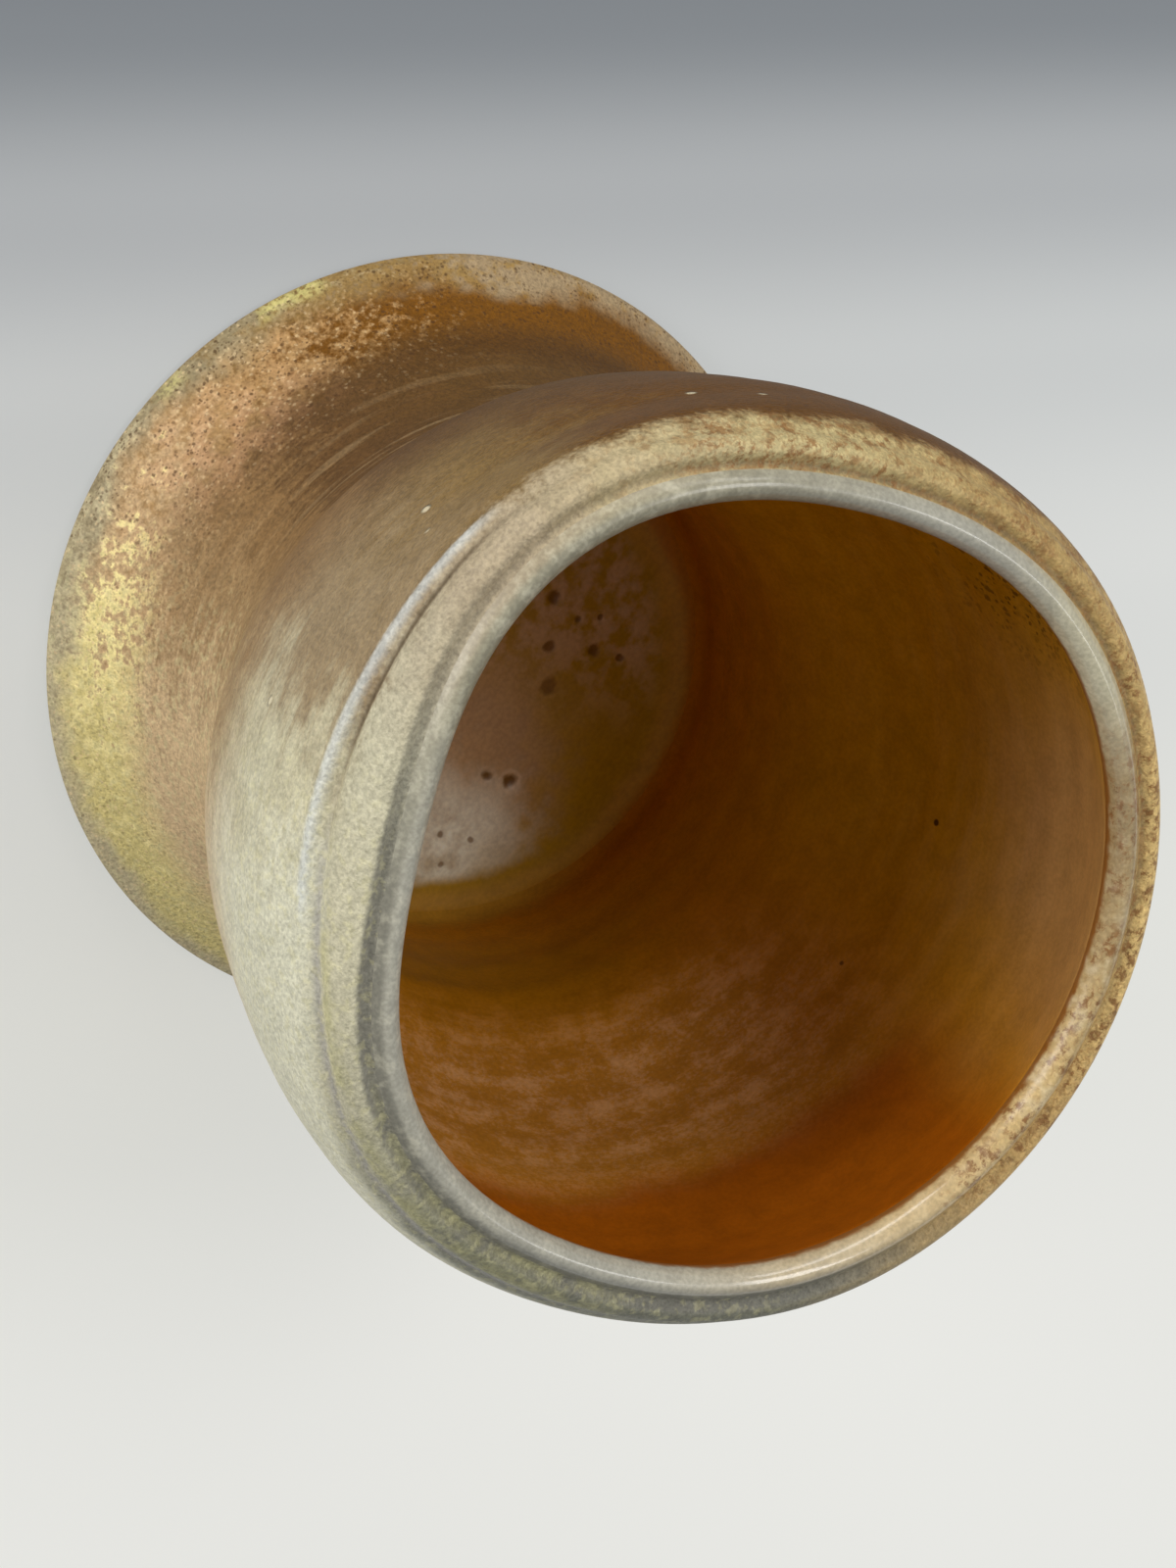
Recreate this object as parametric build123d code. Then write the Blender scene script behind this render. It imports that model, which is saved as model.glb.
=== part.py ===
from build123d import *
import os
from math import cos, exp, radians, sin

# Stoneware cup on a flared foot, upright, with its origin on the floor under the middle of the foot.
# The bowl and the foot are thrown apart and meet at a coned seat, with slip between them.
# The bowl is round up to its belly and worked out of round from there to the lip.
# Glaze is its own piece where it lies thick: over the lip, on top of the foot and pooled on the floor.
# Lengths are in millimetres, angles in degrees from +X.

# Whole cup
cup_height = 100.0
foot_diameter = 98.8
waist_diameter = 75.8
waist_height = 25.0
belly_diameter = 101.4
belly_drop = 16.0
mouth_diameter = 83.0
wall_thickness = 5.0
floor_height = 12.0
corner_radius = 3.5

# Foot, its seat measured in from the waist and its standing ring in from its edge
bare_edge_height = 3.0
edge_radius = 1.4
standing_width = 12.9
seat_inset = 4.4
underside_height = 7.9
seat_edge_height = 14.0

# Rim, measured inwards and down from its outer edge and its crest
rim_width = 7.0
rim_drop = 3.0
lip_width = 3.4
lip_drop = 0.9
lip_roll = 1.6
apron_depth = 4.0

# Altered rim: how far down it starts, where it moves the mouth, and its waves round the cup
altered_depth = 20.0
mouth_shift_x = -0.8
mouth_shift_y = -1.2
wave_shares = ((2, 0.025, 58), (3, 0.016, 1), (4, 0.020, -21), (5, 0.008, -31))

# Finger line under the collar, pressed deepest over the dent
line_depth = 0.9
line_width = 1.3
line_drop = 3.4
shallow_share = 0.35
dent_drop = 3.6
dent_angle = -68.0
dent_spread_angle = 26.0
ridge_height = 0.6
ridge_offset = 2.4

# Coats
glaze_thickness = 0.5
pool_depth = 0.8
slip_thickness = 0.5
overrun = 10.0

# Places along the outline, as shares of the sizes that they lie between
flare_shares = ((0.72, 0.24), (0.30, 0.56))
swell_shares = ((0.12, 0.22), (0.60, 0.46), (0.86, 0.70), (0.985, 0.90))
shoulder_shares = (0.25, 0.60)
collar_shares = ((0.87, 0.57), (0.70, 0.33))

# Counts and steps of the sections of the altered wall
ring_point_count = 24
crest_try_count = 1000
halving_count = 40
edge_chord_count = 2
flare_chord_count = 3
corner_chord_count = 2
wall_step = 5.0
rim_step = 2.0
rim_zone = 8.0

foot_radius = foot_diameter / 2
waist_radius = waist_diameter / 2
belly_radius = belly_diameter / 2
mouth_radius = mouth_diameter / 2
recess_radius = foot_radius - standing_width
seat_radius = waist_radius - seat_inset
collar_radius = mouth_radius + rim_width
belly_height = cup_height - belly_drop
rim_height = cup_height - rim_drop
rim_start = cup_height - rim_zone
altered_start = cup_height - altered_depth
line_height = cup_height - line_drop
inner_waist = waist_radius - wall_thickness
floor_radius = inner_waist - corner_radius
clay_floor = floor_height - pool_depth
seat_height = underside_height - slip_thickness


def between(low, high, share):
    return low + (high - low) * share


def swell(inset):
    """Places up the side from the waist to the belly, set in from the outside."""
    low, high = waist_radius - inset, belly_radius - inset
    return [
        (low, waist_height),
        *((between(low, high, r), between(waist_height, belly_height, z)) for r, z in swell_shares),
        (high, belly_height),
    ]


def outline():
    """Half section of the finished surface, up the outside, over the lip and down to the waist."""
    flare = [
        (between(waist_radius, foot_radius, r), waist_height * z) for r, z in flare_shares
    ]
    out, up = shoulder_shares
    shoulder = between(belly_radius, collar_radius, out), between(belly_height, rim_height, up)
    collar = [(mouth_radius + rim_width * r, cup_height - rim_drop * z) for r, z in collar_shares]
    lip = [
        (mouth_radius + lip_width, cup_height - lip_drop),
        (mouth_radius + lip_roll, cup_height),
        (mouth_radius, cup_height - lip_roll),
        (mouth_radius + lip_width / 8, cup_height - apron_depth),
    ]
    inner_swell = reversed(swell(wall_thickness)[:-1])
    return Spline(
        (foot_radius - edge_radius / 4, bare_edge_height), *flare, *swell(0),
        shoulder, (collar_radius, rim_height), *collar, *lip, *inner_swell,
        (inner_waist, clay_floor + corner_radius),
    )


def altered(height):
    """How far the wall is altered at a height, none where it is round and all of it at the lip."""
    share = min(max((height - altered_start) / altered_depth, 0), 1)
    return share * share * (3 - 2 * share)


def wave(angle):
    return sum(share * cos(radians(count * (angle - turn))) for count, share, turn in wave_shares)


def dent(angle):
    """One over the pressed side of the rim, falling away to nothing round the cup."""
    away = (angle - dent_angle + 180) % 360 - 180
    return exp(-((away / dent_spread_angle) ** 2))


def finger_line(height, angle):
    """Radial press of the finger line and the ridge that it raises below itself."""
    pressed = dent(angle)
    line = line_height - dent_drop * pressed
    depth = line_depth * between(shallow_share, 1, pressed)
    press = depth * exp(-(((height - line) / line_width) ** 2))
    raised = ridge_height * pressed * exp(-(((height - line + ridge_offset) / line_width) ** 2))
    return raised - press


def spline_ring(reach, height, shift_x=0.0, shift_y=0.0):
    """Closed curve round the cup, its reach from the axis given for each angle."""
    places = []
    for i in range(ring_point_count):
        angle = 360 / ring_point_count * i
        x = reach(angle) * cos(radians(angle)) + shift_x
        y = reach(angle) * sin(radians(angle)) + shift_y
        places.append(Vector(x, y, height))
    turns = [i / ring_point_count for i in range(ring_point_count + 1)]
    return Wire(Edge.make_spline(places, periodic=True, parameters=turns))


def ring(share, inset=0.0):
    """One section round the cup at a share of the outline, set in from it by a coat."""
    point, along = outline_curve @ share, outline_curve % share
    radius, height = point.X - along.Y * inset, point.Y + along.X * inset
    work = altered(point.Y)

    def reach(angle):
        pressed = finger_line(point.Y, angle) if share < crest else 0
        return (radius + pressed) * (1 + work * wave(angle))

    return spline_ring(reach, height, mouth_shift_x * work, mouth_shift_y * work)


def round_ring(place):
    return spline_ring(lambda angle: place.X, place.Y)


def share_at(height, low, high):
    """Share of the outline's length where it passes a height, between two shares."""
    rising = (outline_curve @ high).Y > (outline_curve @ low).Y
    for _ in range(halving_count):
        middle = (low + high) / 2
        if ((outline_curve @ middle).Y < height) == rising:
            low = middle
        else:
            high = middle
    return (low + high) / 2


def stations(low, high):
    """Shares of the outline's length that take a ring, closer together round the rim."""
    near_rim = (outline_curve @ ((low + high) / 2)).Y > rim_start
    step = rim_step if near_rim else wall_step
    count = max(round(abs(high - low) * length / step), 1)
    return [between(low, high, i / count) for i in range(count + 1)]


def coat(share):
    """Thickness of the lip glaze at a share of the outline, feathered out at both its ends."""
    feather = lip_roll / length
    edge = min(share - lip_start, lip_end - share) / feather
    return glaze_thickness * min(max(edge, 0), 1)


def rings_up(*shares):
    """Rings between each share of the outline and the next, the clay's under its glaze."""
    found = []
    for low, high in zip(shares, shares[1:]):
        found += stations(low, high)[bool(found):]
    return [ring(share, coat(share)) for share in found]


def chords(curve, count):
    """Places along a curve, for turning it as short cones."""
    return [curve @ (i / count) for i in range(count + 1)]


def turned(*places):
    """Solid of revolution about the cup's axis from the corners of half a section."""
    return revolve(Plane.XZ * make_face(Polyline(*places, close=True)), axis=Axis.Z)


def bowl_clay():
    """Thrown bowl with its floor, its seat on the foot and its altered rim."""
    outer = rings_up(underside_share, rim_low, lip_start, crest)
    inner = rings_up(1, rim_inside, lip_end, crest)
    corner = TangentArc(outline_curve @ 1, (floor_radius, clay_floor), tangent=(0, -1))
    floor = [round_ring(place) for place in reversed(chords(corner, corner_chord_count)[1:])]
    mouth = Pos(0, 0, overrun) * inner[-1]
    outside = Solid.make_loft(outer, ruled=True)
    thrown = outside - Solid.make_loft([*floor, *inner, mouth], ruled=True)
    seat_corner = Vector(seat_radius, underside_height)
    seat_edge = outline_curve @ bowl_low
    beyond = seat_edge + (seat_edge - seat_corner).normalized() * overrun
    below = beyond.X, underside_height - overrun
    return thrown - turned(seat_corner, beyond, below, (seat_radius, underside_height - overrun))


def lip_coat(bowl):
    """Glaze rolled over the lip and a little way down inside."""
    outer = [ring(share) for share in stations(lip_start, crest)]
    inner = [ring(share) for share in stations(lip_end, crest)]
    drop = (outline_curve @ lip_end).Y - (outline_curve @ lip_start).Y
    outside = Solid.make_loft([Pos(0, 0, drop) * outer[0], *outer], ruled=True)
    below, above = Pos(0, 0, -overrun) * inner[0], Pos(0, 0, overrun) * inner[-1]
    return outside - Solid.make_loft([below, *inner, above], ruled=True) - bowl


def foot_pieces():
    """Clay foot with its bare edge and recess, and the glaze on top of it."""
    glazed = outline_curve.trim(0, foot_top)
    shares = [i / flare_chord_count for i in range(flare_chord_count)]
    clay = [
        (place.X - side.Y * glaze_thickness, place.Y + side.X * glaze_thickness)
        for place, side in ((glazed @ share, glazed % share) for share in shares)
    ]
    edge = TangentArc((foot_radius - edge_radius, 0), (foot_radius, edge_radius), tangent=(1, 0))
    seat = (seat_radius, seat_height), (recess_radius, 0)
    foot = turned(*chords(edge, edge_chord_count), *clay, glazed @ 1, *seat)
    return foot, turned(*clay, *reversed(chords(glazed, flare_chord_count)))


def slip_layer():
    """Slip squeezed between the cone of the bowl's underside and the foot."""
    edges = outline_curve @ foot_top, outline_curve @ bowl_low
    return turned(*edges, (seat_radius, underside_height), (seat_radius, seat_height))


def floor_pool(bowl):
    """Glaze pooled level over the floor inside."""
    corners = (0, clay_floor), (inner_waist, clay_floor), (inner_waist, floor_height)
    return turned(*corners, (0, floor_height)) - bowl


outline_curve = outline()
length = outline_curve.length

# Shares of the outline where it changes
tries = [i / crest_try_count for i in range(crest_try_count + 1)]
crest = max(tries, key=lambda share: (outline_curve @ share).Y)
rim_low, rim_inside = share_at(rim_start, 0, crest), share_at(rim_start, crest, 1)
lip_start = crest - (lip_width - lip_roll) / length
lip_end = crest + apron_depth / length
underside_share = share_at(underside_height, 0, waist_height / length)
foot_top = share_at(seat_edge_height, 0, waist_height / length)
bowl_low = share_at(seat_edge_height + slip_thickness, 0, waist_height / length)

bowl = bowl_clay()
foot, foot_glaze = foot_pieces()
pieces = {
    "bowl": bowl,
    "foot": foot,
    "luting_slip": slip_layer(),
    "foot_glaze": foot_glaze,
    "lip_glaze": lip_coat(bowl),
    "floor_glaze": floor_pool(bowl),
}
os.makedirs("parts", exist_ok=True)
for node, shape in pieces.items():
    shape.label = node
    export_step(shape, f"parts/{node}.step")
    print(node, round(shape.volume, 1), len(shape.solids()), shape.is_valid)
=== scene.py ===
import math

import bmesh
import bpy
import numpy as np
from mathutils import Matrix, Vector


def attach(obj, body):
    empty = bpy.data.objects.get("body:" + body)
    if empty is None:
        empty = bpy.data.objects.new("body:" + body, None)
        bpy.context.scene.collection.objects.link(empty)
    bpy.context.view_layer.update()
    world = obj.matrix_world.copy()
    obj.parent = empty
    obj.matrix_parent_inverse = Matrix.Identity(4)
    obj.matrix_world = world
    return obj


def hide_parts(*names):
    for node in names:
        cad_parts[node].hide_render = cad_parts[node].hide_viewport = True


# Stoneware cup on a flared foot. Sizes are in millimetres here and become metres in the meshes.
# Directions round the cup are in degrees from +X; the dented side of the rim faces -Y.
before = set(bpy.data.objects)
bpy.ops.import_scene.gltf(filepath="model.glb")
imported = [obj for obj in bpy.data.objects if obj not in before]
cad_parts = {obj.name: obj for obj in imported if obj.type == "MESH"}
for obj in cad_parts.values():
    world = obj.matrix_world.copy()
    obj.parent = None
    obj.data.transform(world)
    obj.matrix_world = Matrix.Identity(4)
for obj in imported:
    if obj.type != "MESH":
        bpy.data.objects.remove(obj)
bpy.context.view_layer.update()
mm = 0.001

# camera first, at the angle of the picture
view = {
    "place": (0.0, -0.2015894, 0.39373826),
    "right": (-0.61827438, 0.67709116, 0.39910444),
    "up": (-0.78595398, -0.53028420, -0.31792296),
    "back": (-0.00362405, -0.51024134, 0.86002363),
    "lens": 80.08,
    "sensor": 36.0,
}
cameraRight, cameraUp, cameraBack = (Vector(view[side]) for side in ("right", "up", "back"))
cameraData = bpy.data.cameras.new("camera")
cameraData.lens, cameraData.sensor_width = view["lens"], view["sensor"]
cameraData.clip_start, cameraData.clip_end = 0.01, 20
camera = bpy.data.objects.new("camera", cameraData)
cameraTurn = Matrix((cameraRight, cameraUp, cameraBack)).transposed()
camera.matrix_world = Matrix.Translation(view["place"]) @ cameraTurn.to_4x4()
bpy.context.scene.collection.objects.link(camera)
bpy.context.scene.camera = camera
print("camera placed")

# the form, shared by every piece so that they meet
form = {
    "height": 100.0,
    "alteredDepth": 20.0,
    "shift": (-0.8, -1.2),
    "waves": ((2, 0.025, 58), (3, 0.016, 1), (4, 0.020, -21), (5, 0.008, -31)),
    "outline": (  # reach and height: up the outside, over the lip and down inside
        (49.05, 3.0), (46.18, 6.0), (41.35, 14.0), (37.9, 25.0), (39.44, 37.98), (45.58, 52.14),
        (48.91, 66.3), (50.51, 78.1), (50.7, 84.0), (50.15, 91.8), (48.5, 97.0), (47.59, 98.29),
        (46.4, 99.01), (44.9, 99.1), (43.1, 100.0),
        (41.5, 98.4), (41.93, 96.0), (45.7, 84.0), (45.51, 78.1), (43.91, 66.3), (40.58, 52.14),
        (34.44, 37.98), (32.9, 25.0), (32.9, 14.7),
    ),
    "ringSteps": 180,
}
fingerLine = {
    "depth": 0.95, "width": 1.05, "drop": 3.4, "shallow": 0.35,
    "dentDrop": 3.6, "dentAngle": -68.0, "dentSpread": 26.0,
}
rimDetail = {  # worked into the rim beyond the finger line
    "grooveReach": 45.2, "grooveWidth": 0.8, "grooveDepth": 0.55,
    "ridgeFrom": -104, "ridgeTo": -54, "ridgeSoft": 5, "ridge": 0.26, "ridgeWidth": 0.75, "ridgeOffset": 1.5,
}
throwing = {"outside": 0.02, "inside": 0.06, "pitch": 6.3, "from": 18, "to": 88}  # rings left by the fingers


def smoothThrough(places, count):  # natural cubic through places, by the length between them
    points = np.array(places, float)
    gaps = np.hypot(*np.diff(points, axis=0).T)
    knots = np.concatenate([[0], np.cumsum(gaps)])
    n = len(points)
    system, right = np.eye(n), np.zeros((n, 2))
    for i in range(1, n - 1):
        system[i, i - 1:i + 2] = gaps[i - 1], 2 * (gaps[i - 1] + gaps[i]), gaps[i]
        after, before = (points[i + 1] - points[i]) / gaps[i], (points[i] - points[i - 1]) / gaps[i - 1]
        right[i] = 6 * (after - before)
    bend = np.linalg.solve(system, right)
    t = np.linspace(0, knots[-1], count)
    i = np.clip(np.searchsorted(knots, t, side="right") - 1, 0, n - 2)
    gap, a, b = gaps[i], (knots[i + 1] - t) / gaps[i], (t - knots[i]) / gaps[i]
    low, high = ((w ** 3 - w) * (gap ** 2 / 6) for w in (a, b))
    return (
        a[:, None] * points[i] + b[:, None] * points[i + 1]
        + low[:, None] * bend[i] + high[:, None] * bend[i + 1]
    )


outline = smoothThrough(form["outline"], 6000)
along = np.concatenate([[0], np.cumsum(np.hypot(*np.diff(outline, axis=0).T))])
crest = along[outline[:, 1].argmax()]  # arc length at the top of the lip


outside = outline[:int(len(outline) * 0.4)]  # up to the collar


def outsideAt(height):  # arc length where the outside passes a height
    return float(np.interp(height, outside[:, 1], along[:len(outside)]))


def placeAt(s):
    return np.array([np.interp(s, along, outline[:, k]) for k in (0, 1)])


def run(start, end, step, coat=None):  # places along the outline, set in by a coat
    count = max(int(math.ceil(abs(end - start) / step)), 1)
    found = []
    for s in np.linspace(start, end, count + 1):
        place = placeAt(s)
        if coat:
            ahead = placeAt(s + 0.05) - placeAt(s - 0.05)
            place = place + np.array((-ahead[1], ahead[0])) / np.hypot(*ahead) * coat(s)
        found.append(tuple(place))
    return found


def arc(centre, radius, start, end, count):
    turns = np.radians(np.linspace(start, end, count + 1))
    return [(centre[0] + radius * math.cos(t), centre[1] + radius * math.sin(t)) for t in turns]


def softStep(low, high, value):
    t = np.clip((value - low) / (high - low), 0, 1)
    return t * t * (3 - 2 * t)


def within(value, low, high, soft):  # 1 between low and high, fading out over soft on each side
    return softStep(low - soft, low + soft, value) * softStep(high + soft, high - soft, value)


def bell(value):
    return np.exp(-value * value)


def worked(places):  # the round form altered by hand, for rows of places in millimetres
    x, y, z = places.T
    reach = np.maximum(np.hypot(x, y), 1e-6)
    angle = np.degrees(np.arctan2(y, x))
    share = softStep(form["height"] - form["alteredDepth"], form["height"], z)
    wave = sum(size * np.cos(np.radians(n * (angle - turn))) for n, size, turn in form["waves"])
    line, rim, turned = fingerLine, rimDetail, throwing
    away = (angle - line["dentAngle"] + 180) % 360 - 180
    dent = bell(away / line["dentSpread"])
    centre = form["height"] - line["drop"] - line["dentDrop"] * dent
    depth = line["depth"] * (line["shallow"] + (1 - line["shallow"]) * dent)
    ridge = rim["ridge"] * within(angle, rim["ridgeFrom"], rim["ridgeTo"], rim["ridgeSoft"])
    raised = ridge * bell((z - centre + rim["ridgeOffset"]) / rim["ridgeWidth"])
    raised = (raised - depth * bell((z - centre) / line["width"])) * softStep(46, 47.5, reach)
    onOutside = reach > np.interp(z, outside[:, 1], outside[:, 0]) - 2
    rings = np.sin(2 * math.pi * z / turned["pitch"] + np.radians(angle))
    rings = rings * np.where(onOutside, turned["outside"], turned["inside"])
    raised = raised + rings * within(z, turned["from"], turned["to"], 4)
    groove = rim["grooveDepth"] * bell((reach - rim["grooveReach"]) / rim["grooveWidth"])
    scale = (reach + raised) * (1 + share * wave) / reach
    return np.stack([
        x * scale + form["shift"][0] * share,
        y * scale + form["shift"][1] * share,
        z - groove * softStep(96.5, 98, z),
    ], axis=1)


def throw(name, section, ends="ring", steps=form["ringSteps"]):  # spins a half section into a ring
    bm = bmesh.new()
    corners = [bm.verts.new((reach, 0, height)) for reach, height in section]
    edges = [bm.edges.new(pair) for pair in zip(corners, corners[1:])]
    if ends == "ring":
        edges.append(bm.edges.new((corners[-1], corners[0])))
    bmesh.ops.spin(
        bm, geom=corners + edges, cent=(0, 0, 0), axis=(0, 0, 1), angle=2 * math.pi,
        steps=steps, use_merge=True,
    )
    bmesh.ops.remove_doubles(bm, verts=bm.verts, dist=1e-5)
    bmesh.ops.recalc_face_normals(bm, faces=bm.faces)
    mesh = bpy.data.meshes.new(name)
    bm.to_mesh(mesh)
    bm.free()
    piece = bpy.data.objects.new(name, mesh)
    bpy.context.scene.collection.objects.link(piece)
    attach(piece, "root")
    print(name, "thrown,", len(mesh.polygons), "faces")
    return piece


def rows(values, name, width, kind=float):  # one attribute of a mesh's vertices or faces
    found = np.empty(len(values) * width, kind)
    values.foreach_get(name, found)
    return found.reshape(-1, width) if width > 1 else found


def workRim(piece):  # leaves the mesh in metres
    verts = piece.data.vertices
    verts.foreach_set("co", (worked(rows(verts, "co", 3)) * mm).ravel())
    piece.data.update()
    piece.data.shade_smooth()
    piece.data.set_sharp_from_angle(angle=math.radians(60))


# finishes
class Field:  # one socket of a shader, so that sums read as sums
    def __init__(self, finish, socket):
        self.finish, self.socket = finish, socket

    def __add__(self, other):
        return self.finish.maths("ADD", self, other)

    def __sub__(self, other):
        return self.finish.maths("SUBTRACT", self, other)

    def __rsub__(self, other):
        return self.finish.maths("SUBTRACT", other, self)

    def __mul__(self, other):
        return self.finish.maths("MULTIPLY", self, other)

    def __truediv__(self, other):
        return self.finish.maths("DIVIDE", self, other)

    __radd__, __rmul__ = __add__, __mul__


def paint(red, green, blue):  # a colour as it is mixed on screen, made linear
    def linear(value):
        value /= 255
        return value / 12.92 if value <= 0.04045 else ((value + 0.055) / 1.055) ** 2.4

    return (linear(red), linear(green), linear(blue), 1)


class Finish:  # a material whose places are in millimetres
    def __init__(self, name):
        self.material = bpy.data.materials.new(name)
        self.material.use_nodes = True
        self.tree = self.material.node_tree
        self.shader = self.tree.nodes["Principled BSDF"]
        coords = self.node("ShaderNodeTexCoord", {}, {}, "Object")
        self.place = self.node("ShaderNodeVectorMath", {"operation": "SCALE"}, {0: coords, "Scale": 1000})
        self.x, self.y, self.z = (self.node("ShaderNodeSeparateXYZ", {}, {0: self.place}, k) for k in range(3))
        self.reach = self.maths("MAXIMUM", self.maths("SQRT", self.x * self.x + self.y * self.y), 0.01)

    def node(self, kind, settings, values, out=0):
        made = self.tree.nodes.new(kind)
        for name, setting in settings.items():
            if name == "stops":
                ramp = made.color_ramp
                ramp.interpolation = "EASE"
                for i, (place, colour) in enumerate(setting):
                    stop = ramp.elements[i] if i < 2 else ramp.elements.new(place)
                    stop.position, stop.color = place, colour
            else:
                setattr(made, name, setting)
        for key, value in values.items():
            if isinstance(value, Field):
                self.tree.links.new(value.socket, made.inputs[key])
            else:
                made.inputs[key].default_value = value
        return Field(self, made.outputs[out])

    def maths(self, operation, *values):
        return self.node("ShaderNodeMath", {"operation": operation}, dict(enumerate(values)))

    def rise(self, field, low, high):  # 0 below low, 1 above high, eased between
        if low > high:
            return 1 - self.rise(field, high, low)
        settings = {"interpolation_type": "SMOOTHSTEP"}
        return self.node("ShaderNodeMapRange", settings, {"Value": field, "From Min": low, "From Max": high})

    def band(self, field, low, high, soft):  # 1 between low and high
        return self.rise(field, low - soft, low + soft) * self.rise(field, high + soft, high - soft)

    def blend(self, share, first, second):
        return self.node("ShaderNodeMix", {"data_type": "RGBA"}, {0: share, 6: first, 7: second}, 2)

    def tint(self, colour, share):  # darker below 1, lighter above
        return self.node("ShaderNodeVectorMath", {"operation": "SCALE"}, {0: colour, "Scale": share})

    def noise(self, size, detail=3, stretch=(1, 1, 1), roughness=0.5):
        place = self.place
        if stretch != (1, 1, 1):
            place = self.node("ShaderNodeVectorMath", {"operation": "MULTIPLY"}, {0: place, 1: stretch})
        values = {"Vector": place, "Scale": 1 / size, "Detail": detail, "Roughness": roughness}
        return self.node("ShaderNodeTexNoise", {}, values)

    def cells(self, size, out="Distance", feature="F1"):
        return self.node("ShaderNodeTexVoronoi", {"feature": feature}, {"Vector": self.place, "Scale": 1 / size}, out)

    def toward(self, angle):  # cosine of the angle round the cup from a direction
        turn = math.radians(angle)
        return (self.x * math.cos(turn) + self.y * math.sin(turn)) / self.reach

    def away(self, angle):  # degrees round the cup from a direction, -180 to 180
        turn = math.radians(angle)
        ahead = self.x * math.cos(turn) + self.y * math.sin(turn)
        across = self.y * math.cos(turn) - self.x * math.sin(turn)
        return self.maths("ARCTAN2", across, ahead) * (180 / math.pi)

    def spot(self, places, size, soft):  # 1 near any of some places
        found = 0
        for place in places:
            gap = self.node("ShaderNodeVectorMath", {"operation": "DISTANCE"}, {0: self.place, 1: place}, "Value")
            found = self.rise(gap, size + soft, size - soft) + found
        return found

    def finish(self, colour, roughness, height=None, depth=0.1, shine=0.5, coat=0.0):
        links = self.tree.links
        self.shader.inputs["Specular IOR Level"].default_value = shine
        if isinstance(coat, Field):
            links.new(coat.socket, self.shader.inputs["Coat Weight"])
        else:
            self.shader.inputs["Coat Weight"].default_value = coat
        self.shader.inputs["Coat Roughness"].default_value = 0.12
        links.new(colour.socket, self.shader.inputs["Base Color"])
        if isinstance(roughness, Field):
            links.new(roughness.socket, self.shader.inputs["Roughness"])
        else:
            self.shader.inputs["Roughness"].default_value = roughness
        if height:
            values = {"Height": height, "Distance": depth * mm, "Strength": 1.0}
            links.new(self.node("ShaderNodeBump", {}, values).socket, self.shader.inputs["Normal"])
        return self.material


def dentShare(f):  # 1 over the pressed side of the rim
    turn = f.away(fingerLine["dentAngle"]) / fingerLine["dentSpread"]
    return f.maths("EXPONENT", 0 - turn * turn)


def aboveLine(f):  # height above the finger line
    return f.z - (form["height"] - fingerLine["drop"] - fingerLine["dentDrop"] * dentShare(f))


def roundReach(f):  # what the reach at the lip was before the rim was worked
    shiftX, shiftY = form["shift"]
    across, ahead = f.x - shiftX, f.y - shiftY
    reach = f.maths("SQRT", across * across + ahead * ahead)
    angle = f.maths("ARCTAN2", ahead, across)
    wave = 1.0
    for n, size, turn in form["waves"]:
        wave = f.maths("COSINE", angle * n - math.radians(n * turn)) * size + wave
    return reach / wave


ash = {
    "fireAngle": -12,  # the side that the fire blew from, where the ash lies palest
    "body": (
        (-0.45, (104, 66, 6)), (-0.1, (134, 106, 60)), (0.3, (152, 130, 96)), (0.56, (198, 190, 158)), (0.8, (212, 208, 182)),
    ),
    "waist": ((-0.55, (98, 68, 28)), (-0.1, (98, 68, 34)), (0.2, (134, 102, 62)), (0.5, (152, 122, 82)), (0.9, (196, 168, 128))),
    "flare": (
        (-0.55, (116, 72, 2)), (-0.05, (176, 138, 88)), (0.5, (196, 164, 120)), (0.72, (238, 220, 152)), (0.98, (206, 189, 124)),
    ),
    "edge": ((-0.9, (168, 144, 108)), (-0.5, (150, 120, 68)), (0.1, (150, 134, 100)), (0.8, (186, 172, 136))),
    # dark glaze where the foot meets the bowl, partly painted shade under the bowl's overhang
    "jointAndShade": (84, 52, 8),
    "rim": {"ochre": (208, 172, 110), "sand": (228, 194, 126), "tan": (184, 154, 98), "straw": (194, 176, 126),
            "dun": (174, 157, 128), "pale": (196, 189, 160), "greyAndShade": (123, 122, 106)},
    "rimTurns": (  # where each lies round the collar, by degrees from the dented side
        # the grey from about 92 to 128 is greyer ash with painted shade over the collar on that side
        (-180, "ochre"), (-150, "sand"), (-85, "tan"), (-50, "straw"), (-13, "dun"), (20, "pale"), (44, "pale"), (92, "greyAndShade"),
        (128, "greyAndShade"), (180, "ochre"),
    ),
    # groove: grey ash with painted shade in the groove beside the lip; the next tone is painted shade in the groove
    # outside the bead
    "groove": (126, 123, 111), "beadGrooveShade": (116, 96, 64), "speck": (74, 46, 18), "crumb": (226, 212, 176), "lemon": (214, 204, 128),
    # ridge: paler ash with a painted highlight on the raised ridge; crease: painted shade in the finger line
    "lime": (174, 168, 112), "pink": (194, 146, 108), "ridge": (206, 208, 202), "creaseShade": (96, 80, 58),
    "shade": (158, 153, 146), "brown": (140, 98, 54), "blot": (158, 122, 74),
    "crumbs": (
        (-10.3, -49.5, 79.3), (-8.5, -50.0, 84.6), (14.5, -48.1, 75.4), (-36.2, -35.4, 81.9), (-40.3, -30.7, 85.5),
    ),
    "shine": 0.22,
}


def stepped(f, field, stops):  # colours one after another as a field rises
    colour = paint(*stops[0][1])
    for (low, _), (high, shade) in zip(stops, stops[1:]):
        colour = f.blend(f.rise(field, low, high), colour, paint(*shade))
    return colour


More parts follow.
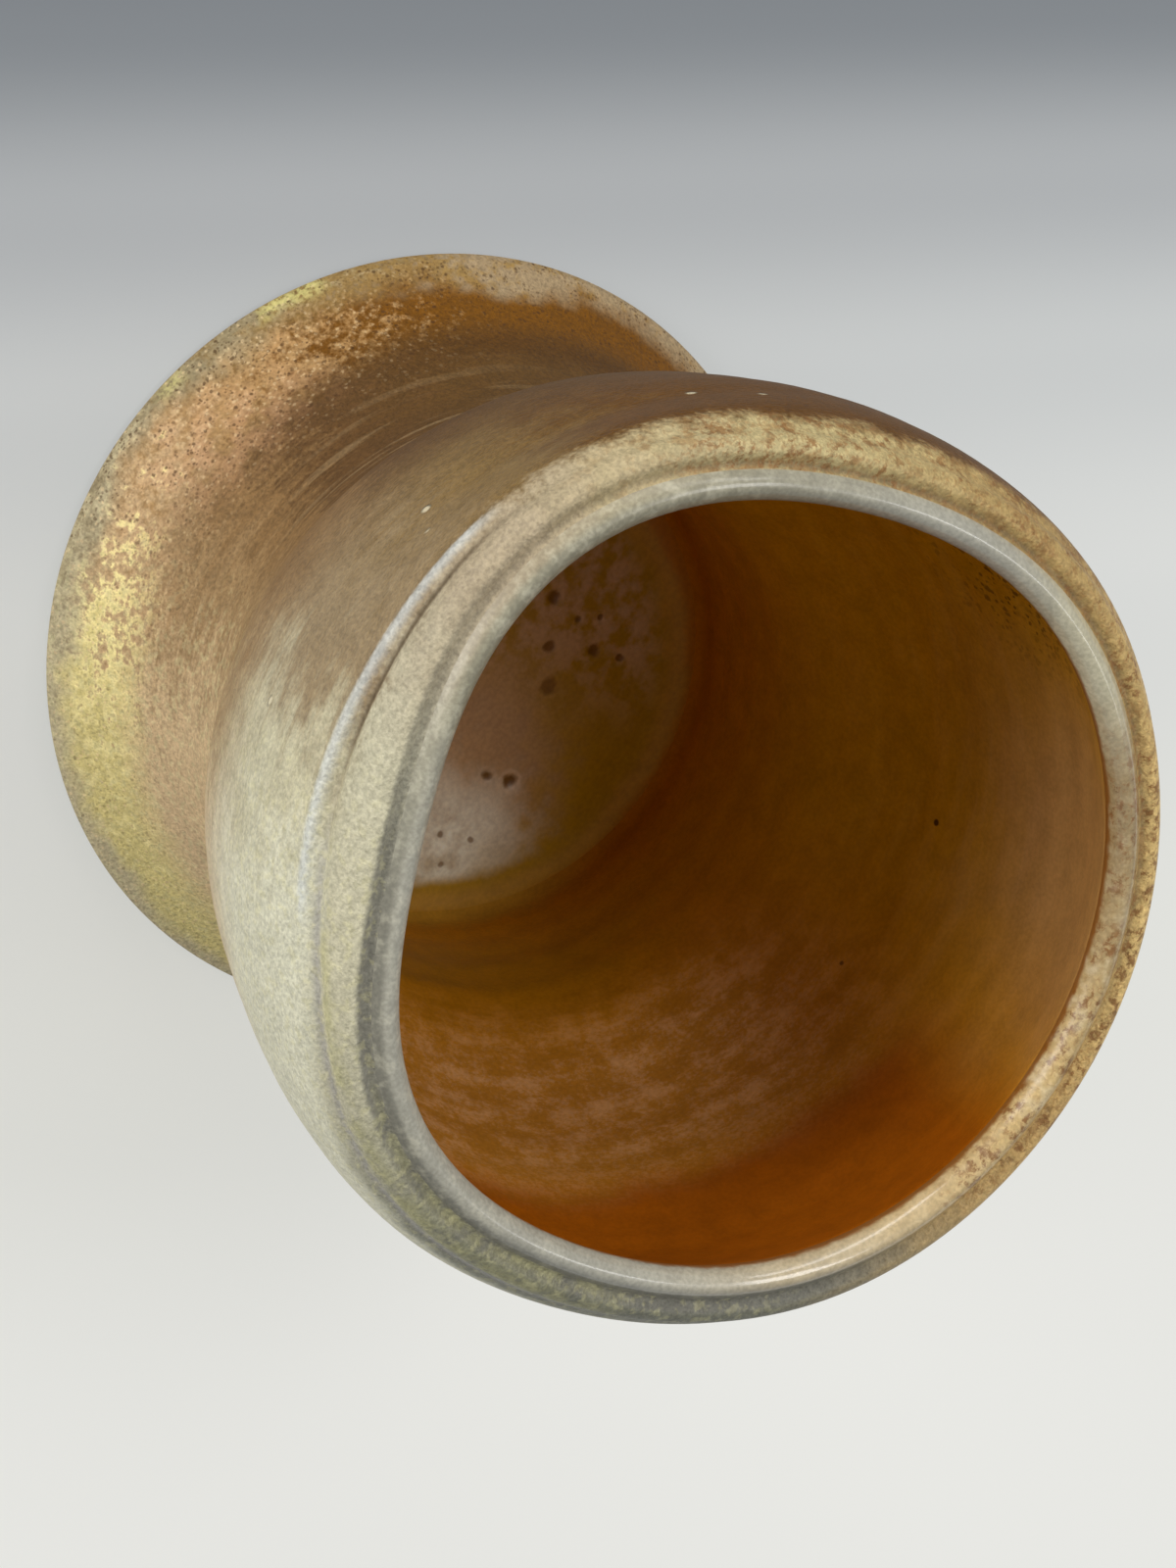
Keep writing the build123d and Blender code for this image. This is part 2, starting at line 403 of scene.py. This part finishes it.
def around(f, tones, turns, wobble=0.0):  # named tones round the cup, by degrees from the dented side; 90 is +X
    turn = f.maths("ARCTAN2", f.x, 0 - f.y) / (2 * math.pi) + 0.5 + wobble
    stops = [((angle + 180) / 360, paint(*tones[tone])) for angle, tone in turns]
    return f.node("ShaderNodeValToRGB", {"stops": stops}, {0: turn})


def toastedEdge(f, fine):  # brown flecks and crackle where the glaze over the rim thinned and toasted
    bent = f.noise(0.9, 2)
    crackle = f.rise(f.cells(1.3, "Distance", "DISTANCE_TO_EDGE") + (bent - 0.5) * 0.5, 0.1, 0.0)
    flecks = f.rise(f.noise(1.3, 5, (1, 1, 1), 0.7), 0.48, 0.6) * f.rise(f.noise(5, 3), 0.36, 0.52)
    return f.maths("MAXIMUM", crackle * f.rise(fine, 0.42, 0.6) * 0.6, flecks)


def grains(f, size, radius, rarity):  # separate small specks of uneven size
    bent = f.noise(size * 0.5, 2)
    picked = f.rise(f.cells(size, "Color") + 0, rarity - 0.02, rarity + 0.02)
    return f.rise(f.cells(size, "Distance") + (bent - 0.5) * 0.5, radius + 0.08, radius - 0.08) * picked


def collarColour(f):  # the ash from the finger line to the lip, with painted shade in its grooves
    wide, middle = f.noise(14, 3), f.noise(3.2, 4)
    colour = around(f, ash["rim"], ash["rimTurns"], (wide - 0.5) * 0.05 + (middle - 0.5) * 0.03)
    reach = roundReach(f) + (middle - 0.5) * 0.5
    turn = f.away(-6)
    # grey in the groove beside the lip over the lower side: grey ash, partly painted shade in the groove
    groove = f.band(reach, 43.4, 46.3, 0.4) * f.rise(f.z, 97.0, 97.8) * f.rise(turn, -104, -46) * f.rise(turn, 76, 50)
    colour = f.blend(groove * 0.92, colour, paint(*ash["groove"]))
    # painted shade: a darker line in the groove outside the lip bead, round the far side
    beadGrooveShade = f.band(reach, 44.7, 45.5, 0.4) * f.rise(f.z, 97.0, 97.8) * f.band(f.away(170), -60, 64, 20)
    return f.blend(beadGrooveShade * 0.75, colour, paint(*ash["beadGrooveShade"]))


def ashOutside(name):
    f = Finish(name)
    wide, middle, fine = f.noise(14, 3), f.noise(3.2, 4), f.noise(0.6, 3)
    grain = f.noise(0.32, 2)
    streak = f.noise(11, 5, (1, 1, 14), 0.6)
    fire = f.toward(ash["fireAngle"]) + (wide - 0.5) * 0.4 + (middle - 0.5) * 0.24
    body = stepped(f, fire + (streak - 0.5) * 0.3, ash["body"])
    waist = stepped(f, fire + (streak - 0.5) * 0.55 + (fine - 0.5) * 0.2, ash["waist"])
    spotty = f.noise(1.2, 4, (1, 1, 1), 0.62)
    flare = stepped(f, fire + (middle - 0.5) * 0.7 + (spotty - 0.5) * 1.5, ash["flare"])
    edge = stepped(f, fire + (middle - 0.5) * 0.9 + (spotty - 0.5) * 1.2, ash["edge"])
    height = f.z + (wide - 0.5) * 8 + (middle - 0.5) * 3
    colour = f.blend(f.rise(height, 52, 80), waist, body)
    salmon = f.band(fire, -0.1, 0.5, 0.25) * f.band(height, 7, 15, 4) * f.rise(middle, 0.36, 0.6)
    colour = f.blend(f.rise(height, 16, 8.5), colour, flare)
    colour = f.blend(salmon * 0.4, colour, paint(*ash["pink"]))
    colour = f.blend(f.rise(height, 6.4, 3.4), colour, edge)
    # darker band where the foot meets the bowl, away from the fire: dark glaze, partly painted shade under the bowl's
    # overhang
    jointAndShade = f.band(f.z + (middle - 0.5) * 3, 12, 17, 3) * f.rise(f.toward(ash["fireAngle"]), -0.15, -0.6)
    colour = f.blend(jointAndShade * 0.7, colour, paint(*ash["jointAndShade"]))
    gap = aboveLine(f)
    rim = collarColour(f)
    lime = f.band(gap + (middle - 0.5) * 0.9, 0.7, 2.3, 0.6) * f.band(f.away(-22), -34, 40, 8) * f.rise(middle, 0.34, 0.56)
    rim = f.blend(lime * 0.5, rim, paint(*ash["lime"]))
    colour = f.blend(f.rise(f.z + (middle - 0.5) * 5 + (fine - 0.5) * 3, 92.8, 96.2), colour, rim)
    toasted = toastedEdge(f, fine) * f.rise(f.z + (middle - 0.5) * 3, 92, 95)
    side = f.maths("MAXIMUM", f.band(f.away(118), -44, 50, 8), f.band(f.away(-165), -40, 40, 8) * 0.9)
    blots = f.rise(f.noise(2.2, 4, (1, 1, 1), 0.64), 0.48, 0.62) * f.rise(f.z + (fine - 0.5) * 3, 92, 95)
    colour = f.blend(blots * f.band(f.away(176), -52, 66, 12) * 0.6, colour, paint(*ash["blot"]))
    colour = f.blend(toasted * side * 0.9, colour, paint(*ash["brown"]))
    # a pale band on the raised ridge below the finger line: paler ash, partly a painted highlight
    ridge = f.band(gap + (fine - 0.5) * 0.5, -2.1, -1.0, 0.45) * f.band(f.away(-79), -25, 25, 3)
    colour = f.blend(ridge * 0.7, colour, paint(*ash["ridge"]))
    # painted shade in the deep part of the finger line, then lighter painted shade along its shallow part
    colour = f.blend(f.band(gap, -0.35, 0.35, 0.35) * f.band(f.away(-88), -15, 15, 7) * 0.9, colour, paint(*ash["creaseShade"]))
    colour = f.blend(f.band(gap, -0.4, 0.4, 0.5) * f.band(f.away(-28), -36, 40, 10) * 0.75, colour, paint(*ash["shade"]))
    lemon = f.maths("MAXIMUM", f.band(f.away(-117) + (middle - 0.5) * 10, -5, 5, 2), f.band(f.away(-96), -2, 2, 2) * 0.7)
    lemon = lemon * f.band(f.z + (middle - 0.5) * 1.6, 1.2, 3.4, 0.7)
    colour = f.blend(lemon * f.rise(fine, 0.3, 0.5) * 0.7, colour, paint(*ash["lemon"]))
    pale = f.rise(fire, 0.35, 0.7)
    specks = f.maths("MAXIMUM", grains(f, 0.8, 0.28, 0.45), grains(f, 0.45, 0.32, 0.5) * 0.8) * f.rise(middle, 0.36, 0.56)
    specks = specks * (f.rise(f.z, 30, 8) * 0.6 + 0.12) * (1 - pale * 0.5)
    colour = f.blend(specks, colour, paint(*ash["speck"]))
    drawn = f.rise(f.noise(20, 3, (1, 1, 14), 0.5), 0.54, 0.68) * f.band(f.z, 22, 46, 8) * f.band(fire, -0.7, 0.1, 0.3)
    colour = f.blend(drawn * 0.4, colour, paint(176, 148, 106))
    bits = grains(f, 0.7, 0.32, 0.4) * f.rise(f.z, 24, 6) * f.rise(fire, -0.8, -0.1) * f.rise(spotty, 0.42, 0.56)
    colour = f.blend(bits * 0.5, colour, paint(220, 192, 146))
    colour = f.blend(pale * f.rise(f.noise(1.0, 3), 0.5, 0.64) * 0.3, colour, paint(204, 196, 146))
    colour = f.tint(colour, f.rise(fine, 0.32, 0.68) * 0.26 + f.rise(grain, 0.3, 0.7) * 0.2 + f.rise(middle, 0.3, 0.7) * 0.14 + 0.7)
    crumbs = f.spot(ash["crumbs"], 0.55, 0.2)
    colour = f.blend(crumbs * 0.8, colour, paint(*ash["crumb"]))
    rough = 0.62 - f.rise(f.z, 20, 90) * 0.14
    return f.finish(colour, rough, fine * 0.7 + grain * 0.25 + spotty * 0.6 + crumbs * 2.0, 0.2, ash["shine"])


inner = {
    "base": (186, 132, 0), "deep": (188, 124, 0), "ring": (172, 108, 0), "tan": (176, 132, 78), "bloom": (206, 160, 112),
    "red": (154, 80, 2), "olive": (168, 122, 2), "speck": (74, 44, 4), "hazeAndPaintedLight": (184, 136, 44), "warm": (178, 110, 16),
    "dots": ((-20.2, 37.4, 59.3), (-0.4, 41.7, 55.8)), "rough": 0.5, "shine": 0.18,
}


def flashInside(name):
    f = Finish(name)
    wide, middle, fine = f.noise(16, 3), f.noise(3.0, 4), f.noise(0.5, 3)
    streak = f.noise(12, 5, (1, 1, 5), 0.6)
    height = f.z + (wide - 0.5) * 14 + (streak - 0.5) * 10
    side = (wide - 0.5) * 30
    colour = f.blend(f.rise(height, 14, 40), paint(*inner["deep"]), paint(*inner["base"]))
    olive = f.band(f.away(100) + side, -44, 42, 26) * f.band(height, 22, 62, 16)
    colour = f.blend(olive * 0.5, colour, paint(*inner["olive"]))
    # lighter streaks high on the inside: a painted sheen
    hazeAndPaintedLight = f.rise(streak, 0.44, 0.66) * f.rise(height, 34, 60) * 0.4
    colour = f.blend(hazeAndPaintedLight, colour, paint(*inner["hazeAndPaintedLight"]))
    # tan high on the inside towards 120 degrees: paler glaze with a painted broad sheen
    tan = f.band(f.away(120) + side, -26, 30, 20) * f.rise(height, 56, 80)
    colour = f.blend(tan * 0.9, colour, paint(*inner["tan"]))
    level = f.z + (wide - 0.5) * 7 + (middle - 0.5) * 4 + (streak - 0.5) * 5
    warm = f.band(f.away(40) + side * 0.3, -64, 58, 20) * f.rise(level, 24, 42)
    colour = f.blend(warm * 0.6, colour, paint(*inner["warm"]))
    red = f.band(f.away(42) + side * 0.2, -64, 47, 9) * f.rise(level, 65, 73)
    colour = f.blend(red * 0.95, colour, paint(*inner["red"]))
    shaded = f.band(f.away(36) + side * 0.3, -30, 26, 14) * f.band(height, 22, 40, 6)
    colour = f.tint(colour, 1 - shaded * 0.25)
    zone = f.band(f.away(42) + side * 0.3, -50, 42, 16) * f.band(level, 44, 68, 7)
    frost = f.rise(f.noise(0.7, 5, (1, 1, 1.4), 0.72) + (streak - 0.5) * 0.6 + (middle - 0.5) * 0.6, 0.38, 0.68)
    colour = f.blend((frost * 0.55 + 0.12) * zone, colour, paint(*inner["bloom"]))
    colour = f.blend(f.rise(f.z, 19.5, 13.5), colour, paint(*inner["ring"]))
    creep = f.rise(f.z + (middle - 0.5) * 3, 18, 14) * f.band(f.away(38), -34, 30, 16)
    colour = f.blend(creep * 0.9, colour, paint(*poolPaint["edge"]))
    specks = f.maths("MAXIMUM", grains(f, 0.9, 0.32, 0.35), grains(f, 1.7, 0.26, 0.45)) * f.rise(f.noise(4, 3), 0.34, 0.52)
    clots = f.rise(f.noise(1.3, 4, (1, 1, 1), 0.64) + f.rise(f.z, 74, 96) * 0.1, 0.56, 0.68) * f.rise(f.z, 68, 88) * 0.9
    specks = f.maths("MAXIMUM", specks * f.rise(f.z, 56, 82), clots) * f.band(f.away(188), -34, 30, 10)
    dots = f.spot(inner["dots"][:1], 0.42, 0.12) + f.spot(inner["dots"][1:], 0.3, 0.12) * 0.8
    colour = f.blend(f.maths("MAXIMUM", specks * 0.85, dots), colour, paint(*inner["speck"]))
    colour = f.tint(colour, f.rise(fine, 0.3, 0.7) * 0.16 + f.rise(middle, 0.3, 0.7) * 0.14 + f.rise(streak, 0.3, 0.7) * 0.1 + 0.8)
    return f.finish(colour, inner["rough"], fine * 0.5 + middle * 0.5, 0.06, inner["shine"])


craters = (  # burst bubbles in the pool: x, y, half width and depth
    (8.6, 12.6, 0.8, 0.25), (7.4, 15.6, 1.0, 0.35), (-14.0, 4.4, 1.0, 0.2), (-15.8, 11.3, 0.5, 0.2),
    (-13.8, 9.0, 0.6, 0.15), (-8.9, 8.1, 0.9, 0.1), (-11.9, 13.5, 1.0, 0.15), (-13.3, 17.1, 0.6, 0.2),
    (-5.0, 11.6, 1.3, 0.1), (18.0, 12.6, 0.5, 0.2), (16.3, 16.4, 0.5, 0.15), (21.0, 15.3, 0.45, 0.2),
)
poolPaint = {
    "base": (176, 134, 26), "moss": (172, 132, 2), "mauve": (200, 168, 140), "frost": (250, 250, 228), "edge": (184, 138, 44),
    # the frost and haze places mark frosted glaze together with a painted patch of light from the mouth
    "pit": (112, 74, 4), "halo": (236, 214, 180), "frostAndLightAt": (19.5, 14.0, 12.0), "hazeAt": (8.0, 10.5, 12.0),
    "rough": 0.3, "shine": 0.3,
}


def poolFinish(name):
    f = Finish(name)
    wide, middle, fine, uneven = f.noise(9, 3), f.noise(2.2, 4), f.noise(0.6, 3), f.noise(1.3, 2)
    out = f.reach - f.toward(40) * 1.6 + (wide - 0.5) * 2 + (middle - 0.5)
    colour = f.blend(f.rise(f.toward(100) * f.reach + (wide - 0.5) * 12, -4, 16), paint(*poolPaint["base"]), paint(*poolPaint["moss"]))
    mauve = f.rise(middle, 0.36, 0.62) * f.rise(f.toward(-150) * f.reach + (wide - 0.5) * 8, -10, 8) * f.rise(out, 30, 24)
    colour = f.blend(mauve * 0.6, colour, paint(*poolPaint["mauve"]))

    def gapFrom(place):
        return f.node("ShaderNodeVectorMath", {"operation": "DISTANCE"}, {0: f.place, 1: place}, "Value")

    # mauve haze and white frost towards +X and +Y on the pool: frosted glaze with a painted patch of light from the
    # mouth
    hazeAndPaintedLight = f.rise(gapFrom(poolPaint["hazeAt"]) + (wide - 0.5) * 12 + (middle - 0.5) * 6, 17, 4)
    colour = f.blend(hazeAndPaintedLight * 0.6, colour, paint(*poolPaint["mauve"]))
    frost = f.rise(gapFrom(poolPaint["frostAndLightAt"]) + (wide - 0.5) * 10 + (middle - 0.5) * 10, 15, 3) * f.rise(out, 27.6, 25.4)
    colour = f.blend(frost * (0.8 + (middle - 0.5) * 1.4), colour, paint(*poolPaint["frost"]))
    colour = f.blend(f.rise(out, 27, 29.5), colour, paint(*poolPaint["edge"]))
    colour = f.blend(f.rise(out, 29.8, 31.8), colour, paint(*inner["ring"]))
    for i, (x, y, half, _) in enumerate(craters):
        away = gapFrom((x, y, 12.0)) + (uneven - 0.5) * half * 1.1
        if i < 2:
            colour = f.blend(f.band(away, half * 1.2, half * 1.5, half * 0.4) * (0.2 + i * 0.35), colour, paint(*poolPaint["halo"]))
        colour = f.blend(f.rise(away, half * 1.15, half * 0.5) * (0.9 if i < 8 else 0.7), colour, paint(*poolPaint["pit"]))
    colour = f.tint(colour, f.rise(fine, 0.3, 0.7) * 0.16 + f.rise(middle, 0.3, 0.7) * 0.12 + 0.86)
    return f.finish(colour, poolPaint["rough"], middle * 0.6 + fine * 0.4, 0.05, poolPaint["shine"])


lipPaint = {
    "tones": {"honey": (208, 178, 122), "toast": (164, 141, 100), "ivory": (196, 188, 158), "pewter": (172, 168, 152),
              "dun": (148, 142, 120)},
    "turns": (  # by degrees from the dented side
        (-180, "honey"), (-128, "toast"), (-107, "ivory"), (-76, "pewter"), (-38, "dun"), (0, "dun"), (28, "pewter"),
        (105, "pewter"), (180, "honey"),
    ),
    "inside": (138, 84, 26), "brown": (138, 94, 50), "rough": 0.34, "shine": 0.35, "coat": 0.9,
}


def lipFinish(name):
    f = Finish(name)
    wide, middle, fine = f.noise(8, 3), f.noise(1.8, 4), f.noise(0.45, 3)
    reach = roundReach(f)
    colour = around(f, lipPaint["tones"], lipPaint["turns"], (wide - 0.5) * 0.06)
    glossy = f.maths("MAXIMUM", f.band(f.away(176), -50, 50, 20), f.band(f.away(32), -34, 50, 14))
    turn = f.away(-6)
    dull = f.rise(turn, -130, -84) * f.rise(turn, 96, 60)
    edge = f.maths("MAXIMUM", f.rise(reach, 43.4, 44.2) * dull, f.rise(reach, 44.5, 44.9)) * f.rise(f.z, 97.0, 97.8)
    colour = f.blend(edge, colour, collarColour(f))
    toasted = toastedEdge(f, fine) * f.band(f.away(112) + (wide - 0.5) * 30, -40, 38, 8)
    colour = f.blend(toasted * 0.9, colour, paint(*lipPaint["brown"]))
    colour = f.blend(f.rise(middle, 0.45, 0.7) * (0.3 - glossy * 0.22), colour, paint(206, 200, 176))
    colour = f.tint(colour, f.rise(fine, 0.3, 0.7) * 0.2 + f.rise(middle, 0.3, 0.7) * 0.12 + 0.8)
    inside = f.rise(f.z + (middle - 0.5) * 1.0, 98.3, 97.5) * f.rise(reach, 43.2, 42.6)
    colour = f.blend(inside * 0.9, colour, paint(*lipPaint["inside"]))
    return f.finish(colour, lipPaint["rough"], fine, 0.02, lipPaint["shine"], glossy * lipPaint["coat"])


clayPaint = {
    "facing": ((-0.9, (156, 134, 104)), (-0.4, (140, 112, 72)), (0.2, (160, 140, 108)), (0.6, (190, 180, 152))),
    "recess": (150, 118, 84), "rough": 0.8, "shine": 0.2,
}


def clayBare(name):
    f = Finish(name)
    wide, middle, fine = f.noise(12, 3), f.noise(2.5, 4), f.noise(0.5, 3)
    colour = stepped(f, f.toward(ash["fireAngle"]) + (wide - 0.5) * 0.4 + (middle - 0.5) * 0.6, clayPaint["facing"])
    colour = f.blend(f.rise(f.reach + (middle - 0.5) * 2, 42, 38), colour, paint(*clayPaint["recess"]))
    colour = f.blend(f.rise(fine, 0.55, 0.68) * 0.5, colour, paint(104, 78, 50))
    colour = f.tint(colour, f.rise(fine, 0.3, 0.7) * 0.16 + f.rise(middle, 0.3, 0.7) * 0.16 + 0.84)
    return f.finish(colour, clayPaint["rough"], fine * 0.7 + middle * 0.3, 0.15, clayPaint["shine"])


outsideAsh = ashOutside("outsideAsh")
insideFlash = flashInside("insideFlash")
poolGlaze = poolFinish("poolGlaze")
lipAsh = lipFinish("lipAsh")
bareClay = clayBare("bareClay")
print("finishes mixed")

# bowl
bowl = {
    "underside": 7.9, "seatReach": 33.5, "seatEdge": 14.5, "glaze": 0.5, "lipWidth": 1.8, "apron": 4.0,
    "corner": 3.5, "clayFloor": 11.2, "floorReach": 29.4, "feather": 1.6,
}
lipStart, lipEnd = crest - bowl["lipWidth"], crest + bowl["apron"]


def lipCoat(s):
    edge = min(s - lipStart, lipEnd - s) / bowl["feather"]
    return bowl["glaze"] * min(max(edge, 0), 1)


wallSection = [(0, bowl["underside"]), (bowl["seatReach"], bowl["underside"])]
wallSection += run(outsideAt(bowl["seatEdge"]), outsideAt(88), 1.0)
wallSection += run(outsideAt(88), lipStart, 0.3)[1:]
wallSection += run(lipStart, lipEnd, 0.5, lipCoat)[1:]
wallSection += run(lipEnd, along[-1], 1.0)[1:]
wallSection += arc((bowl["floorReach"], bowl["clayFloor"] + bowl["corner"]), bowl["corner"], 0, -90, 8)[1:]
wallSection += [(0, bowl["clayFloor"])]
wall = throw("bowlWall", wallSection, ends="axis")
for finish in (outsideAsh, insideFlash, bareClay):
    wall.data.materials.append(finish)
faces = wall.data.polygons
middle, facing = rows(faces, "center", 3), rows(faces, "normal", 3)
reach, height = np.hypot(middle[:, 0], middle[:, 1]), middle[:, 2]
inward = middle[:, 0] * facing[:, 0] + middle[:, 1] * facing[:, 1] < 0
inside = (inward & (height > bowl["seatEdge"]) & (height < 99) & (reach < 46)) | (
    (height > bowl["clayFloor"] - 0.1) & (height < bowl["seatEdge"]) & (facing[:, 2] > 0.05)
)
under = height < bowl["underside"] + 0.1
faces.foreach_set("material_index", np.where(inside, 1, np.where(under, 2, 0)))
workRim(wall)
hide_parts("bowl")

# foot
foot = {"edge": 1.4, "reach": 49.4, "recess": 36.5, "bareEdge": 3.0, "top": 14.0, "seatHeight": 7.4, "glaze": 0.5}
footBottom, footTop = outsideAt(foot["bareEdge"]), outsideAt(foot["top"])
footSection = [(foot["recess"], 0)]
footSection += arc((foot["reach"] - foot["edge"], foot["edge"]), foot["edge"], -90, 0, 8)
footSection += run(footBottom, footTop - 0.5, 0.9, lambda s: foot["glaze"])
footSection += run(footTop, footTop, 1)[:1] + [(bowl["seatReach"], foot["seatHeight"])]
footClay = throw("footClay", footSection)
for finish in (bareClay, outsideAsh):
    footClay.data.materials.append(finish)
faces = footClay.data.polygons
middle = rows(faces, "center", 3)
dusted = (middle[:, 2] > 0.7) & (np.hypot(middle[:, 0], middle[:, 1]) > 47)
faces.foreach_set("material_index", dusted.astype(int))
workRim(footClay)
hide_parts("foot")

ashSection = run(footBottom, footTop, 0.4)
ashSection += run(footTop - 0.4, footBottom, 0.9, lambda s: foot["glaze"] + 0.05)
footAsh = throw("footAsh", ashSection)
footAsh.data.materials.append(outsideAsh)
workRim(footAsh)
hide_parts("foot_glaze")

# slip between bowl and foot
slipSection = run(footTop, outsideAt(bowl["seatEdge"]), 0.25)
slipSection += [(bowl["seatReach"], bowl["underside"]), (bowl["seatReach"], foot["seatHeight"])]
slipSeam = throw("slipSeam", slipSection)
slipSeam.data.materials.append(outsideAsh)
workRim(slipSeam)
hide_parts("luting_slip")

# glaze over the lip
lipSection = run(lipStart, lipEnd, 0.2)
lipSection += run(lipEnd, lipStart, 0.4, lambda s: lipCoat(s) + 0.05)[1:-1]
lipGlaze = throw("lipGlaze", lipSection)
lipGlaze.data.materials.append(lipAsh)
workRim(lipGlaze)
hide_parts("lip_glaze")

# glaze pooled on the floor inside
poolShape = {
    "height": 12.0, "meniscus": 0.4, "reach": 32.2, "rings": 96, "steps": 240,
}
poolSection = [(0, poolShape["height"])]
for i in range(1, poolShape["rings"] + 1):
    share = i / poolShape["rings"]
    rise = poolShape["meniscus"] * softStep(0.8, 1.0, share) ** 2
    poolSection.append((poolShape["reach"] * share, poolShape["height"] + rise))
poolSection += [(bowl["floorReach"], bowl["clayFloor"]), (0, bowl["clayFloor"])]
floorPool = throw("floorPool", poolSection, ends="axis", steps=poolShape["steps"])
poolVerts = floorPool.data.vertices
places = rows(poolVerts, "co", 3)
top = places[:, 2] > poolShape["height"] - 0.01
for x, y, half, depth in craters:
    away = np.hypot(places[:, 0] - x, places[:, 1] - y) / half
    places[:, 2] += top * depth * (0.15 * bell((away - 1.5) / 0.4) - bell(away))
poolVerts.foreach_set("co", places.ravel())
floorPool.data.materials.append(poolGlaze)
workRim(floorPool)
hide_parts("floor_glaze")

# floor and light
stage = {
    "floorSize": 3, "floorRough": 0.9,
    "floorSlope": (-0.76, -0.64),  # the floor's colour darkens behind the cup
    "floorColours": (
        (-110, (226, 224, 219)), (-55, (222, 221, 216)), (0, (200, 200, 197)), (32, (172, 173, 172)),
        (54, (146, 148, 150)), (80, (100, 103, 107)),
    ),
    "sheetColours": (  # a painted glow that the camera and reflections see, laid over the floor's shading
        (-110, (228, 229, 224)), (-50, (224, 225, 219)), (0, (218, 220, 217)), (32, (206, 209, 208)),
        (56, (180, 183, 184)), (76, (140, 145, 149)), (88, (126, 130, 136)),
    ),
    "sheetShare": 0.4, "sheetGlow": 1.45,
    "skyColour": (0.93, 0.96, 1.0), "skyStrength": 0.36,
}
bm = bmesh.new()
bmesh.ops.create_grid(bm, x_segments=1, y_segments=1, size=stage["floorSize"])
floorMesh = bpy.data.meshes.new("floor")
bm.to_mesh(floorMesh)
bm.free()
floor = bpy.data.objects.new("floor", floorMesh)
bpy.context.scene.collection.objects.link(floor)
floorFinish = Finish("paleFloor")
slope = floorFinish.x * stage["floorSlope"][0] + floorFinish.y * stage["floorSlope"][1]
raysIn = [floorFinish.node("ShaderNodeLightPath", {}, {}, f"Is {kind} Ray") for kind in ("Camera", "Glossy", "Transmission")]
# camera, glossy and transmission rays see a painted glow over part of the floor's shading
seen = (raysIn[0] + raysIn[1] + raysIn[2]) * stage["sheetShare"]
sheet = floorFinish.tint(stepped(floorFinish, slope, stage["sheetColours"]), seen)
floorColour = floorFinish.tint(stepped(floorFinish, slope, stage["floorColours"]), 1 - seen)
floorFinish.finish(floorColour, stage["floorRough"], shine=0.2)
floorFinish.tree.links.new(sheet.socket, floorFinish.shader.inputs["Emission Color"])
floorFinish.shader.inputs["Emission Strength"].default_value = stage["sheetGlow"]
floorMesh.materials.append(floorFinish.material)

world = bpy.data.worlds.new("studio")
bpy.context.scene.world = world
world.use_nodes = True
sky = world.node_tree.nodes["Background"]
sky.inputs["Color"].default_value = (*stage["skyColour"], 1)
sky.inputs["Strength"].default_value = stage["skyStrength"]

softboxes = {  # right, up and towards the camera; distance; width and height; power
    "overhead": ((0.2, 0.8, 0.58), 0.9, (1.0, 0.16), 2.6),
    "right": ((0.7, 0.1, 0.72), 0.9, (0.2, 0.45), 2.3),
    "rightLow": ((0.9, -0.16, 0.41), 0.9, (0.12, 0.45), 0.9),
    "left": ((-0.70, 0.25, 0.70), 0.9, (0.36, 0.36), 4.7),
}
target = Vector((0, 0, 0.06))
for name, (sides, distance, size, power) in softboxes.items():
    data = bpy.data.lights.new(name, "AREA")
    data.shape, data.size, data.size_y, data.energy = "RECTANGLE", *size, power
    lamp = bpy.data.objects.new(name, data)
    direction = (cameraRight * sides[0] + cameraUp * sides[1] + cameraBack * sides[2]).normalized()
    across = cameraRight - direction * cameraRight.dot(direction)
    across.normalize()
    turn = Matrix((across, direction.cross(across), direction)).transposed()
    lamp.location = target + direction * distance
    lamp.rotation_mode = "QUATERNION"
    lamp.rotation_quaternion = turn.to_quaternion()
    bpy.context.scene.collection.objects.link(lamp)

bpy.context.scene.view_settings.view_transform = "Standard"
print("lit")
